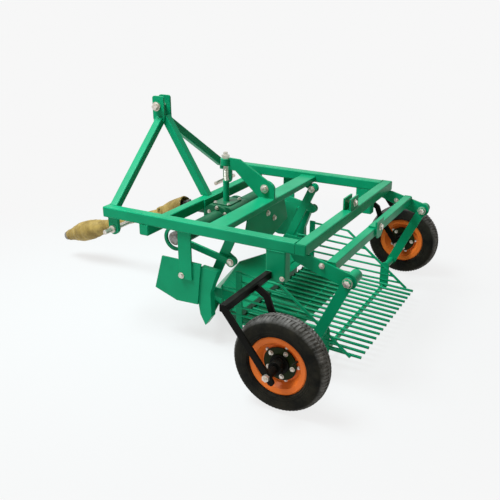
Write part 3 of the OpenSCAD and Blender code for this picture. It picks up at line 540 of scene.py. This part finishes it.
def shoulder_bars(mesh, centre, outer):
    """Cross bars from the centre rib over both shoulders, one row set half a pitch on."""
    inner_x, inner_drop = BAR_COURSE[0]
    for row in SIDES.values():
        before = set(mesh.faces)
        corners = [Vector((row * inner_x, y, outer + z - inner_drop)) * MM for y, z in BAR_SECTION]
        foot = mesh.faces.new([mesh.verts.new(centre + corner) for corner in corners])
        end = foot
        for (x, drop), (next_x, next_drop) in zip(BAR_COURSE, BAR_COURSE[1:]):
            grown = bmesh.ops.extrude_face_region(mesh, geom=[end], use_keep_orig=True)
            if end is not foot:
                bmesh.ops.delete(mesh, geom=[end], context="FACES_ONLY")
            end = grown_part(grown, bmesh.types.BMFace)
            step = Vector((row * (next_x - x), BAR_SLANT * (next_x - x), drop - next_drop)) * MM
            bmesh.ops.translate(mesh, verts=list(end.verts), vec=step)
        bar = [face for face in mesh.faces if face not in before]
        if row < 0:
            bmesh.ops.rotate(mesh, verts=list({vert for face in bar for vert in face.verts}), cent=centre,
                             matrix=Matrix.Rotation(math.pi / BAR_COUNT, 3, "X"))
        copies = BAR_COUNT - 1
        bmesh.ops.spin(mesh, geom=bar, cent=centre, axis=X_AXIS, dvec=(0, 0, 0),
                       angle=2 * math.pi * copies / BAR_COUNT, steps=copies, use_duplicate=True)


def treaded_tyre(side):
    """Tyre with a centre rib and a row of cross bars on each shoulder."""
    node = f"tyre_{side}"
    low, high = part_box(node)
    centre = (Vector(low) + Vector(high)) / 2
    outer = (high[2] - low[2]) / 2 / MM
    half_width = (high[0] - low[0]) / 2 / MM
    carcass = outer - TREAD_DEPTH
    rib = [(carcass - RIB_SUNK, -RIB_ROOT), (outer - RIB_CROWN, -RIB_TOP), (outer, 0),
           (outer - RIB_CROWN, RIB_TOP), (carcass - RIB_SUNK, RIB_ROOT)]
    mesh = bmesh.new()
    revolve(mesh, tyre_outline(carcass, half_width - WALL_INSET), centre, X_AXIS, TYRE_STEPS)
    revolve(mesh, rib, centre, X_AXIS, TYRE_STEPS)
    shoulder_bars(mesh, centre, outer)
    tyre = add_piece(f"treaded_tyre_{side}", mesh, "tyre", f"wheel_{side}", smooth_angle=40)
    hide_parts(node)


def valve_stem(side, sign):
    """Valve stem that leans out of the rim to the axle."""
    mesh = bmesh.new()
    back, up = math.sin(VALVE_TURN), math.cos(VALVE_TURN)
    foot = at(sign * (WHEEL_X + VALVE_OUT), AXLE_Y - VALVE_RADIUS * back, AXLE_Z + VALVE_RADIUS * up)
    lean = Vector((sign, VALVE_LEAN * back, -VALVE_LEAN * up)).normalized()
    revolve(mesh, VALVE_STEM, foot, lean, SMALL_STEPS)
    add_piece(f"valve_stem_{side}", mesh, "tyre", f"wheel_{side}")


def hub_plates(side, sign):
    """Thin plates on both faces of a hub's disc."""
    mesh = bmesh.new()
    for face in (-1, 1):
        outline = [(radius, face * out) for radius, out in HUB_PLATE]
        revolve(mesh, outline, at(sign * WHEEL_X, AXLE_Y, AXLE_Z), X_AXIS, LARGE_STEPS)
    add_piece(f"hub_plates_{side}", mesh, "black_paint", f"wheel_{side}", smooth_angle=30, finish=OLIVE)


def make_wheels():
    """Tyres with tread, valve stems through the rims, and plates on the hubs' discs."""
    for side, sign in SIDES.items():
        treaded_tyre(side)
        valve_stem(side, sign)
        hub_plates(side, sign)


# Bolts

# Circles of bolts on a wheel: radius, distance from the middle plane, size across flats, height, first angle
WHEEL_BOLT_COUNT = 5
HUB_BOLTS = (54, 14.3, 13, 6, 45)
RIM_BOLTS = (74, 4, 10, 5, 53)
# Bolts on both sides: body, place on the right, outward or inward, size across flats and height
SIDE_BOLTS = (
    ("frame", (527, 262, 331), 1, 19, 8),
    ("frame", (511, 262, 331), -1, 19, 10),
    ("frame", (412, 50, 526), -1, 24, 10),
    ("frame", (540, -252, 429), 1, 14, 6),
    ("sieve", (434.4, 188.7, 224.4), 1, 22, 8),
    ("rocker", (452.4, 48, 410), 1, 22, 8),
    ("frame", (101, 381, 495), 1, 13, 7),
    ("frame", (101, 335, 521), 1, 13, 7),
    ("frame", (101, 289, 495), 1, 13, 7),
    ("frame", (101, 289, 443), 1, 13, 7),
    ("frame", (101, 335, 417), 1, 13, 7),
    ("frame", (101, 381, 443), 1, 13, 7),
)
# Single bolts: body, place, direction, size across flats and height
SINGLE_BOLTS = (
    ("frame", (-533.4, -532, 468), (-1, 0, 0), 27, 11),
    ("frame", (506.6, -532, 468), (-1, 0, 0), 27, 11),
    ("sieve", (-533.4, -393.3, 166.4), (-1, 0, 0), 24, 10),
    ("sieve", (517.4, -393.3, 166.4), (1, 0, 0), 24, 10),
    ("frame", (0, -478, 528), (0, -1, 0), 22, 10),
    ("frame", (0, -349, 622), (0, -1, 0), 22, 10),
    ("frame", (0, -311, 622), (0, 1, 0), 22, 11),
    ("frame", (8, 105, 498), (0, -1, 0), 20, 8),
    ("frame", (75, 105, 455), (0, -1, 0), 20, 8),
    ("frame", (-5, 117, 625), (-1, 0, 0), 28, 11),
    ("frame", (5, 117, 625), (1, 0, 0), 28, 13),
    ("frame", (-517, -415, 512), (-1, 0, 0), 16, 7),
    ("frame", (523, -390, 500), (-1, 0, 0), 16, 7),
    ("frame", (-48, 720, 985), (-1, 0, 0), 30, 14),
    ("frame", (0, 255, 452), (0, -1, 0), 22, 9),
)
# Threaded end through the clamp on the rear crossbeam
CLAMP_BOLT = (0, -349, 622)
CLAMP_BOLT_ACROSS = 15
CLAMP_BOLT_LENGTH = 38


def make_fasteners():
    """Bolt heads and nuts on the frame, the shaker and the wheels."""
    meshes = {}

    def head(body, place, along, across, height):
        if body not in meshes:
            meshes[body] = bmesh.new()
        hex_head(meshes[body], place, along, across, height)

    for side, sign in SIDES.items():
        for body, (x, y, z), outward, across, height in SIDE_BOLTS:
            named = f"rocker_{side}" if body == "rocker" else body
            head(named, at(sign * x, y, z), X_AXIS * sign * outward, across, height)
        for radius, out, across, height, first in (HUB_BOLTS, RIM_BOLTS):
            for step in range(WHEEL_BOLT_COUNT):
                turn = math.radians(first + 360 / WHEEL_BOLT_COUNT * step)
                y, z = AXLE_Y + radius * math.sin(turn), AXLE_Z + radius * math.cos(turn)
                for face in (-1, 1):
                    place = at(sign * WHEEL_X + face * out, y, z)
                    head(f"wheel_{side}", place, X_AXIS * face, across, height)
    for body, place, along, across, height in SINGLE_BOLTS:
        head(body, at(*place), Vector(along), across, height)
    bolt_end(meshes["frame"], at(*CLAMP_BOLT), FRONT, CLAMP_BOLT_ACROSS, CLAMP_BOLT_LENGTH)
    for body, mesh in meshes.items():
        add_piece(f"bolts_{body}", mesh, "zinc", body, smooth_angle=30)


# Welds

# Radius of a bead, and the pitch of beads as a share of it
BEAD = 2.6
BEAD_PITCH = 1.15
# Seams on both sides of the machine, as their two ends on the right
SIDE_SEAMS = (
    ((491, -305, 595), (539, -305, 595)), ((540, -305, 551), (540, -305, 590)),
    ((490, -305, 551), (490, -305, 590)), ((490, 68, 578), (490, 148, 578)),
    ((490, 63, 552), (490, 63, 575)), ((490, 153, 552), (490, 153, 575)),
    ((492, 425, 545), (538, 425, 545)), ((492, 475, 545), (538, 475, 545)),
    ((490, 644, 595), (490, 684, 595)),
    ((507, 620, 545), (507, 670, 545)), ((523, 620, 545), (523, 670, 545)),
    ((540, -262, 545), (540, -178, 545)), ((492, -265, 545), (538, -265, 545)),
    ((540, -204, 453), (540, -176, 453)), ((540, -206, 424), (540, -206, 451)),
    ((527, 207, 545), (527, 273, 545)), ((519, 275, 322), (519, 275, 400)),
    ((519, 205, 322), (519, 205, 400)),
    ((440, 72, 548), (440, 140, 548)), ((452, 72, 548), (452, 140, 548)),
)
SINGLE_SEAMS = (
    ((-180, 104, 548), (180, 104, 548)),
    ((-6, 66, 578), (-6, 150, 578)), ((6, 66, 578), (6, 150, 578)),
    ((-45, -348, 595), (45, -348, 595)), ((-45, -312, 595), (45, -312, 595)),
    ((-507, -466, 532), (-507, -434, 532)), ((523, -466, 532), (523, -434, 532)),
    ((-507, -470, 496), (-507, -470, 528)), ((523, -470, 496), (523, -470, 528)),
    ((-517, -350, 545), (-517, -274, 545)), ((523, -350, 545), (523, -274, 545)),
    ((-33, 690, 911), (-33, 750, 911)), ((33, 690, 911), (33, 750, 911)),
    ((-22, 452, 545), (22, 452, 545)), ((-16, 325, 524), (16, 325, 524)),
)


def weld(mesh, start, end):
    """Row of overlapping beads along a seam."""
    run = end - start
    size = BEAD * MM
    count = max(2, round(run.length / (size * BEAD_PITCH)))
    for step in range(count + 1):
        place = Matrix.Translation(start + run * step / count)
        bmesh.ops.create_icosphere(mesh, subdivisions=1, radius=size, matrix=place)


def make_welds():
    """Weld beads along the frame's seams."""
    mesh = bmesh.new()
    for sign in SIDES.values():
        for start, end in SIDE_SEAMS:
            weld(mesh, at(sign * start[0], *start[1:]), at(sign * end[0], *end[1:]))
    for start, end in SINGLE_SEAMS:
        weld(mesh, at(*start), at(*end))
    add_piece("frame_welds", mesh, "green_paint", "frame", smooth_angle=80)


# Drive shaft guard

# Joint at the gearbox, and the shaft's way down from it
JOINT = (0, 575, 469)
DROOP = math.radians(20)
SHAFT_WAY = Vector((0, math.cos(DROOP), -math.sin(DROOP)))
# Outline along the shaft as (distance from the joint, outer radius)
GUARD_CONE = ((18, 53), (24, 56), (30, 55), (80, 52), (120, 47), (150, 40), (160, 37), (164, 29), (170, 29),
              (174, 33), (198, 33), (202, 29), (210, 22))
GUARD_BELL = ((560, 22), (570, 30), (598, 30), (604, 33), (640, 36), (648, 39), (672, 42), (678, 46),
              (706, 50), (712, 53), (744, 55), (750, 58), (790, 59), (796, 57), (802, 59), (836, 58),
              (842, 54), (848, 55), (872, 49), (878, 46), (884, 47), (902, 40), (908, 36), (914, 38),
              (932, 34), (936, 31), (940, 34), (950, 33), (955, 31))
GUARD_HOLLOW = ((955, 19.5), (165, 19.5), (150, 34), (90, 45), (18, 50))
# Grease knobs: outline as (radius, length), distance from the joint, foot's radius, turns about the shaft
KNOB_STEPS = 20
KNOB = ((0, 0), (6, 0), (6, 8), (8, 9), (8, 15), (6.5, 17), (0, 17.5))
KNOB_PLACE = 186
KNOB_FOOT = 28
KNOB_TURNS = (-0.9, 1.4)
# Push pin of the coupling, in the same way
PUSH_PIN = ((0, 0), (5, 0), (5, 8), (4, 9), (0, 9))
PUSH_PIN_PLACE = 964
PUSH_PIN_FOOT = 24
PUSH_PIN_TURN = -0.6


def on_shaft(distance, radius, turn):
    """Point beside the drive shaft, turned from its upper side."""
    upper = Vector((0, math.sin(DROOP), math.cos(DROOP)))
    beside = upper * math.cos(turn) + X_AXIS * math.sin(turn)
    return at(*JOINT) + SHAFT_WAY * distance * MM + beside * radius * MM


def shaft_knob(mesh, outline, distance, radius, turn):
    """Small turned piece that stands out of the shaft or its guard."""
    foot = on_shaft(distance, radius, turn)
    revolve(mesh, outline, foot, (foot - on_shaft(distance, 0, 0)).normalized(), KNOB_STEPS)


def make_shaft_guard():
    """Guard with a cone over the joint, a sleeve, a stepped bell and knobs, and the coupling's push pin."""
    mesh = bmesh.new()
    outline = [(radius, distance) for distance, radius in GUARD_CONE + GUARD_BELL + GUARD_HOLLOW]
    revolve(mesh, outline, at(*JOINT), SHAFT_WAY, LARGE_STEPS)
    for turn in KNOB_TURNS:
        shaft_knob(mesh, KNOB, KNOB_PLACE, KNOB_FOOT, turn)
    guard = add_piece("ribbed_shaft_guard", mesh, "guard_plastic", "frame", smooth_angle=32)
    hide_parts("shaft_guard")
    mesh = bmesh.new()
    shaft_knob(mesh, PUSH_PIN, PUSH_PIN_PLACE, PUSH_PIN_FOOT, PUSH_PIN_TURN)
    add_piece("push_pin", mesh, "zinc", "frame", smooth_angle=32)


# Trim

# Caps on the tubes: places on the right and the ways they face, size and corner
TUBE_ENDS = (((515, 685, 570), (0, 1, 0)), ((540, 450, 520), (1, 0, 0)), ((540, -330, 570), (1, 0, 0)))
CAP_SIZE = (44, 44, 2)
CAP_CORNER = 5
# Cover on the gearbox, and its bolts' distances from the cover's middle
COVER_PLACE = (0, 335, 524)
COVER_SIZE = (130, 100, 6)
COVER_CORNER = 10
COVER_BOLT_X = 54
COVER_BOLT_Y = 38
COVER_BOLT = (13, 6)
# Thread on the gearbox stay's screw
STAY_PLACE = (0, 341, 0)
STAY_THREAD = (640, 715)
STAY_RADIUS = 11.6
THREAD_PITCH = 3.0
THREAD_DEPTH = 1.2
THREAD_WALL = 3
THREAD_STEPS = 24


def screw_thread(mesh, low, high, radius, place):
    """Ring-shaped threads along an upright screw."""
    outline = [(radius - THREAD_WALL, low)]
    for step in range(int((high - low) / THREAD_PITCH)):
        root = low + step * THREAD_PITCH
        outline += [(radius - THREAD_DEPTH, root), (radius, root + THREAD_PITCH / 2)]
    revolve(mesh, outline + [(radius - THREAD_WALL, high)], place, UP, THREAD_STEPS)


def make_trim():
    """Tube end caps, the gearbox's cover and the stay's thread."""
    mesh = bmesh.new()
    for sign in SIDES.values():
        for (x, y, z), along in TUBE_ENDS:
            soft_plate(mesh, at(sign * x, y, z), Vector((sign * along[0], along[1], 0)), CAP_SIZE, CAP_CORNER)
    add_piece("tube_caps", mesh, "green_paint", "frame", smooth_angle=30)
    mesh = bmesh.new()
    soft_plate(mesh, at(*COVER_PLACE), UP, COVER_SIZE, COVER_CORNER)
    add_piece("gearbox_cover", mesh, "gearbox_paint", "frame", smooth_angle=30)
    mesh = bmesh.new()
    x, y, z = COVER_PLACE
    for right in (-COVER_BOLT_X, COVER_BOLT_X):
        for forward in (-COVER_BOLT_Y, COVER_BOLT_Y):
            hex_head(mesh, at(x + right, y + forward, z + COVER_SIZE[2]), UP, *COVER_BOLT)
    add_piece("cover_bolts", mesh, "zinc", "frame", smooth_angle=30)
    mesh = bmesh.new()
    screw_thread(mesh, *STAY_THREAD, STAY_RADIUS, at(*STAY_PLACE))
    add_piece("stay_thread", mesh, "zinc", "frame", smooth_angle=40)


# Sheets and rods where the share hands over to the sieve

# Sieve floor: place and height of its rods' rear ends, how they rise to the front, their pitch and radius
ROD_REAR_Y = -558
ROD_REAR_Z = 66
ROD_RISE = math.radians(2.3)
ROD_PITCH = 48
ROD_RADIUS = 6.5
# Bed under the rods, a dark plate in painted shade: ends of the plates beside the crossbars, half width,
# thickness and hold on the rods
BED_PLATES = ((52, 62), (-144, 40), (-216, -156))
BED_HALF = 388
BED_THICK = 3
BED_HOLD = 0.5
# Front rods of the side guards: plane, ends, the place that their height is taken from, rows and radius
GUARD_X = 402
GUARD_REAR = 34
GUARD_FRONT = 122
GUARD_LEVEL_Y = 38
GUARD_PITCH = 42
GUARD_ROWS = (1, 2, 3, 4)
GUARD_ROD = 5
# The guards' front uprights pass the lowest and highest rods by this
UPRIGHT_PAST = 8
# Apron on the share: its crest and its rear edge, each in the middle and at the right end
APRON_CREST = (Vector((0, 262, 206)), Vector((376, 187, 171)))
APRON_REAR = (Vector((0, 105, 126)), Vector((376, 105, 129)))
# Lip and skirt behind the apron as (place, height)
APRON_LIP = ((116, 133), (104, 126), (66, 122), (58, 119))
APRON_SKIRT = ((103, 40), (103, 124))
APRON_HALF = 366
APRON_THICK = 2.5
# Ribs on the apron's wings: the first from the middle, how many pitches the last is out, and their radius
RIB_FROM = 140
RIB_LAST = 7
RIB_RADIUS = 5.5
# Deflector under the middle crossbeam: its rear face, thickness, and the rear face's corners as (x, height)
DEFLECTOR_REAR = 105
DEFLECTOR_THICK = 6
DEFLECTOR_OUTLINE = ((-232, 412), (0, 345), (232, 412), (183, 548), (-183, 548))


def rod_height(y):
    """Height of the sieve rods' middle at a place along the machine."""
    return ROD_REAR_Z + (y - ROD_REAR_Y) * math.tan(ROD_RISE)


def make_sieve_bed():
    """Plates under the sieve's front rods, in the gearbox's deep green as painted shade: they darken the gaps
    between the rods to the shade that lies there.
    """
    mesh = bmesh.new()
    for ends in BED_PLATES:
        bent_sheet(mesh, BED_HALF, [(y, rod_height(y) - ROD_RADIUS + BED_HOLD) for y in ends], BED_THICK)
    # The deep gearbox green here is painted shade under the rods
    add_piece("sieve_bed_painted_shade", mesh, "gearbox_paint", "sieve", smooth_angle=30)


def make_guard_fronts():
    """Rods that carry the sieve's side guards on to the front, with an upright at their ends."""
    mesh = bmesh.new()
    rows = [rod_height(GUARD_LEVEL_Y) + row * GUARD_PITCH for row in GUARD_ROWS]
    for sign in SIDES.values():
        x = sign * GUARD_X
        for z in rows:
            plain_rod(mesh, at(x, GUARD_REAR, z), at(x, GUARD_FRONT + GUARD_ROD, z), GUARD_ROD)
        foot = at(x, GUARD_FRONT, rows[0] - UPRIGHT_PAST)
        top = at(x, GUARD_FRONT, rows[-1] + UPRIGHT_PAST)
        plain_rod(mesh, foot, top, GUARD_ROD)
    add_piece("guard_front_rods", mesh, "green_paint", "sieve", smooth_angle=40)


def make_apron_lip():
    """Lip and skirt over the gap behind the apron."""
    mesh = bmesh.new()
    for course in (APRON_LIP, APRON_SKIRT):
        bent_sheet(mesh, APRON_HALF, course, APRON_THICK)
    add_piece("apron_lip", mesh, "green_paint", "frame", smooth_angle=50)


def make_deflector():
    """Deflector plate with a pointed foot."""
    mesh = bmesh.new()
    face = mesh.faces.new([mesh.verts.new(at(x, DEFLECTOR_REAR, z)) for x, z in DEFLECTOR_OUTLINE])
    face.normal_update()
    bmesh.ops.solidify(mesh, geom=[face], thickness=DEFLECTOR_THICK * MM)
    plate = add_piece("deflector_plate", mesh, "green_paint", "frame", smooth_angle=30)
    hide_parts("deflector_sheet")


def make_apron_ribs():
    """Ribs on the apron's wings, in line with the sieve's rods."""
    mesh = bmesh.new()
    for place in range(-RIB_LAST, RIB_LAST + 1):
        x = place * ROD_PITCH
        if abs(x) < RIB_FROM:
            continue
        outward = abs(x) / APRON_CREST[1].x
        top, foot = (inner.lerp(outer, outward) for inner, outer in (APRON_CREST, APRON_REAR))
        plain_rod(mesh, at(x, foot.y, foot.z), at(x, top.y, top.z), RIB_RADIUS)
    add_piece("apron_ribs", mesh, "green_paint", "frame", smooth_angle=40)


# Stage, light and camera

# Floor: half size, and the distances from the middle between which it goes over into the background
FLOOR_REACH = 30
FLOOR_TONE = (0.70, 0.70, 0.70, 1)
FADE_FROM = 0.5
FADE_FULL = 2.1
FADE_LEAST = 0.78
# Background as the camera sees it, and the sky that lights the machine
BACKGROUND = (0.93, 0.93, 0.93, 1)
SKY = (1.0, 0.96, 0.76, 1)
SKY_STRENGTH = 0.22
# Lamps: place, power, size and colour
LAMP_TARGET = Vector((0, -0.4, 0.4))
LAMPS = {"key": (Vector((-1.3, 1.2, 4.7)), 410, 2.2, (0.80, 0.95, 1.0)),
         "fill": (Vector((-3.8, -0.6, 1.6)), 9, 2.0, (1, 1, 1))}


def seen_rays(tree):
    """One for rays that show a surface as it looks: from the camera, in reflections and through glass."""
    path = tree.nodes.new("ShaderNodeLightPath")
    looked = reckon(tree, "MAXIMUM", path.outputs["Is Camera Ray"], path.outputs["Is Glossy Ray"])
    return reckon(tree, "MAXIMUM", looked, path.outputs["Is Transmission Ray"])


def make_stage():
    """Pale floor that takes the machine's shadow near by and goes over into the background further out."""
    mesh = bmesh.new()
    bmesh.ops.create_grid(mesh, x_segments=1, y_segments=1, size=FLOOR_REACH)
    data = bpy.data.meshes.new("floor")
    mesh.to_mesh(data)
    mesh.free()
    floor = bpy.data.objects.new("floor", data)
    bpy.context.scene.collection.objects.link(floor)
    pale, tree, shader = bare_material("pale_floor")
    shader.inputs["Base Color"].default_value = FLOOR_TONE
    shader.inputs["Roughness"].default_value = 0.9
    shader.inputs["Specular IOR Level"].default_value = 0.0
    length = tree.nodes.new("ShaderNodeVectorMath")
    length.operation = "LENGTH"
    tree.links.new(object_place(tree), length.inputs[0])
    fade = ramp(tree, length.outputs["Value"], FADE_FROM, FADE_FULL, FADE_LEAST, 1.0)
    glow = tree.nodes.new("ShaderNodeEmission")
    glow.inputs["Color"].default_value = BACKGROUND
    mix = tree.nodes.new("ShaderNodeMixShader")
    tree.links.new(reckon(tree, "MULTIPLY", seen_rays(tree), fade), mix.inputs["Fac"])
    tree.links.new(shader.outputs["BSDF"], mix.inputs[1])
    tree.links.new(glow.outputs["Emission"], mix.inputs[2])
    tree.links.new(mix.outputs["Shader"], tree.nodes["Material Output"].inputs["Surface"])
    data.materials.append(pale)


def make_lamps():
    """Soft overhead key from the front left, and a weak fill from the left."""
    for name, (place, energy, size, colour) in LAMPS.items():
        data = bpy.data.lights.new(name, "AREA")
        data.energy = energy
        data.size = size
        data.color = colour
        lamp = bpy.data.objects.new(name, data)
        lamp.location = place
        lamp.rotation_euler = (LAMP_TARGET - place).to_track_quat("-Z", "Y").to_euler()
        bpy.context.scene.collection.objects.link(lamp)


def make_world():
    """Dim warm sky for the light, which shows as the plain background."""
    world = bpy.data.worlds.new("studio")
    bpy.context.scene.world = world
    world.use_nodes = True
    tree = world.node_tree
    tree.nodes.clear()
    mix = tree.nodes.new("ShaderNodeMixShader")
    tree.links.new(seen_rays(tree), mix.inputs["Fac"])
    for socket, colour, strength in ((mix.inputs[1], SKY, SKY_STRENGTH), (mix.inputs[2], BACKGROUND, 1.0)):
        back = tree.nodes.new("ShaderNodeBackground")
        back.inputs["Color"].default_value = colour
        back.inputs["Strength"].default_value = strength
        tree.links.new(back.outputs["Background"], socket)
    output = tree.nodes.new("ShaderNodeOutputWorld")
    tree.links.new(mix.outputs["Shader"], output.inputs["Surface"])


def make_camera():
    """Camera at the photograph's place and angles."""
    level_share = math.cos(CAMERA_PITCH)
    forward = Vector((math.cos(CAMERA_YAW) * level_share, math.sin(CAMERA_YAW) * level_share,
                      -math.sin(CAMERA_PITCH)))
    level = Vector((math.sin(CAMERA_YAW), -math.cos(CAMERA_YAW), 0))
    upright = level.cross(forward)
    right = level * math.cos(CAMERA_ROLL) + upright * math.sin(CAMERA_ROLL)
    up = upright * math.cos(CAMERA_ROLL) - level * math.sin(CAMERA_ROLL)
    data = bpy.data.cameras.new("photo_view")
    data.sensor_width = SENSOR_MM
    data.lens = FOCAL_PIXELS / FRAME_PIXELS * SENSOR_MM
    camera = bpy.data.objects.new("photo_view", data)
    turn = Matrix((right, up, -forward)).transposed()
    camera.matrix_world = Matrix.Translation(CAMERA_PLACE) @ turn.to_4x4()
    bpy.context.scene.collection.objects.link(camera)
    bpy.context.scene.camera = camera


bpy.context.scene.view_settings.view_transform = "Standard"
make_camera()
make_stage()
make_lamps()
make_world()
finish_solids()
make_wheels()
make_fasteners()
make_welds()
make_shaft_guard()
make_trim()
make_sieve_bed()
make_guard_fronts()
make_apron_lip()
make_deflector()
make_apron_ribs()
